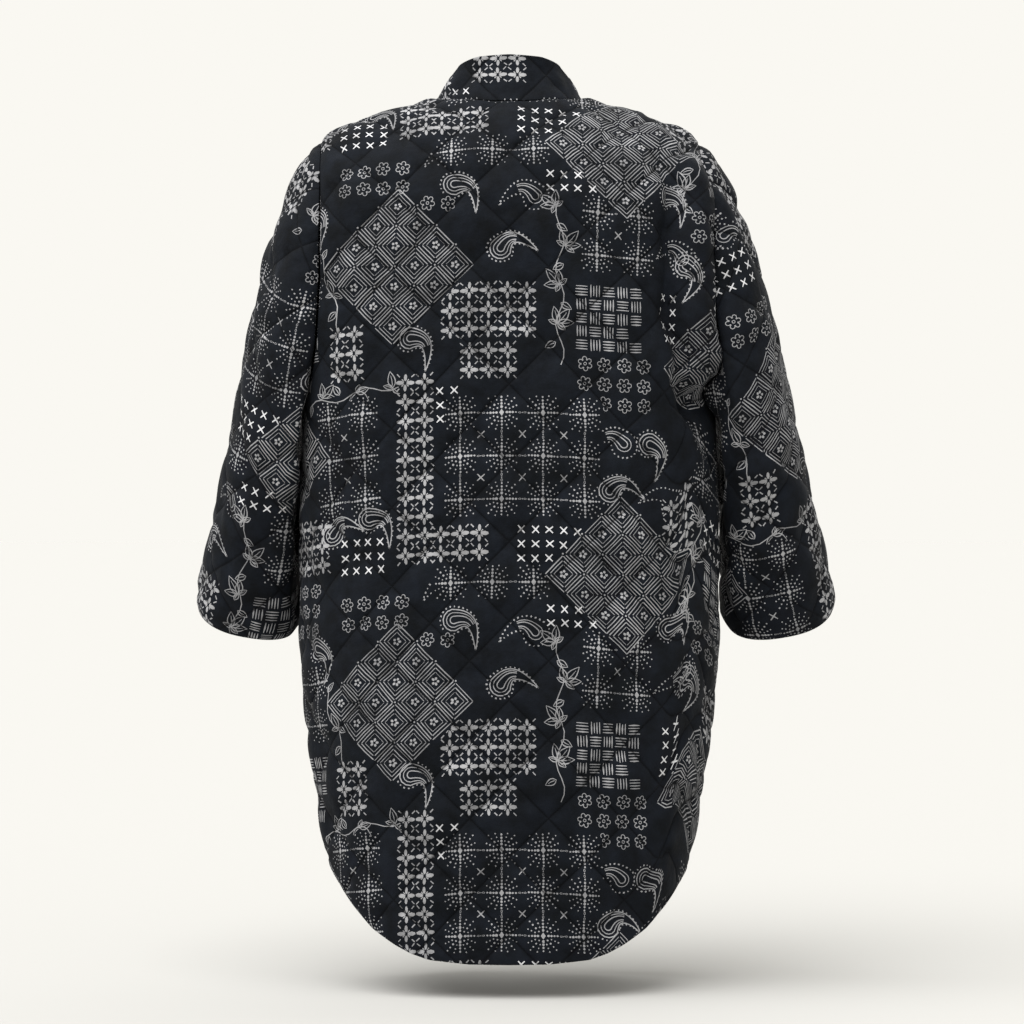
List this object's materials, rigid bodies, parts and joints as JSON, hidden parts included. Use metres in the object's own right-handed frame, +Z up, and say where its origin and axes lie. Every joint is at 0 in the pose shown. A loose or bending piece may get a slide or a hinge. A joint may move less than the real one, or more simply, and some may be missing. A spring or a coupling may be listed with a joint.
{
  "type": "open-front coat",
  "caption": "Hollow quilted open-front coat with a stand collar, wide three-quarter sleeves and a rounded hem, in a dark patchwork print.",
  "frame": {"origin": "middle of the neck opening at the height of the collar seam, where the wearer's shoulders hold the coat", "axes": "+Z up the wearer's body, front opening towards -Y, wearer's left at +X"},
  "size_m": [0.7116, 0.2816, 0.9822],
  "materials": {
    "back": "quilted printed cotton, matt",
    "front_left": "quilted printed cotton, matt",
    "front_right": "quilted printed cotton, matt",
    "sleeve_left": "quilted printed cotton, matt",
    "sleeve_right": "quilted printed cotton, matt",
    "collar": "quilted printed cotton, matt"
  },
  "bodies": {
    "root": {"back": "back", "front_left": "front_left", "front_right": "front_right", "sleeve_left": "sleeve_left", "sleeve_right": "sleeve_right", "collar": "collar"}
  },
  "joints": []
}
